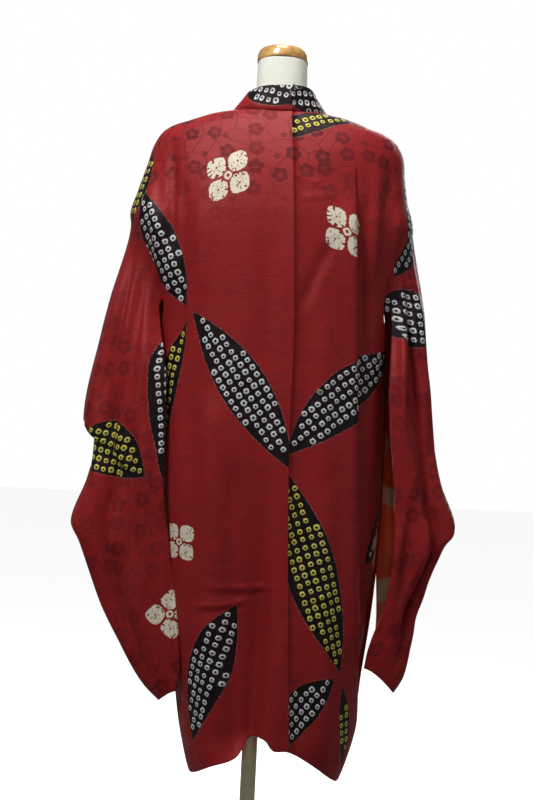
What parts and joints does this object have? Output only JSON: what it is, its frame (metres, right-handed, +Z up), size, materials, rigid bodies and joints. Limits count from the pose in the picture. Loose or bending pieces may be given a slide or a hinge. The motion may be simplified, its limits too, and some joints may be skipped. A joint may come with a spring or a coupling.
{
  "type": "haori jacket on a dress form stand",
  "caption": "Lined silk haori jacket with wide bag sleeves and a long folded collar, worn open on a limbless dress form on a pole and round base.",
  "frame": {"origin": "centre of the base plate's flat underside, on the floor", "axes": "+Z up along the pole; the back of the jacket faces -Y and its open front +Y; +X is the wearer's right-hand side"},
  "size_m": [0.6231, 0.38, 1.5652],
  "materials": {
    "crimson_silk": "figured silk with black tie-dyed leaves, soft sheen",
    "orange_lining": "plain silk lining",
    "black_silk": "black silk with tie-dyed rings, red lower down",
    "linen": "off-white linen, matt",
    "varnished_wood": "honey-coloured, varnished",
    "pale_brass": "polished, pale"
  },
  "bodies": {
    "root": {"body_left": "crimson_silk", "body_right": "crimson_silk", "gusset_left": "crimson_silk", "gusset_right": "crimson_silk", "sleeve_left": "crimson_silk", "sleeve_right": "crimson_silk", "sleeve_lining_back_left": "orange_lining", "sleeve_lining_front_left": "orange_lining", "sleeve_lining_back_right": "orange_lining", "sleeve_lining_front_right": "orange_lining", "collar": "black_silk", "form_torso": "linen", "neck_cap": "varnished_wood", "stand_pole": "pale_brass", "stand_base": "pale_brass"}
  },
  "joints": []
}
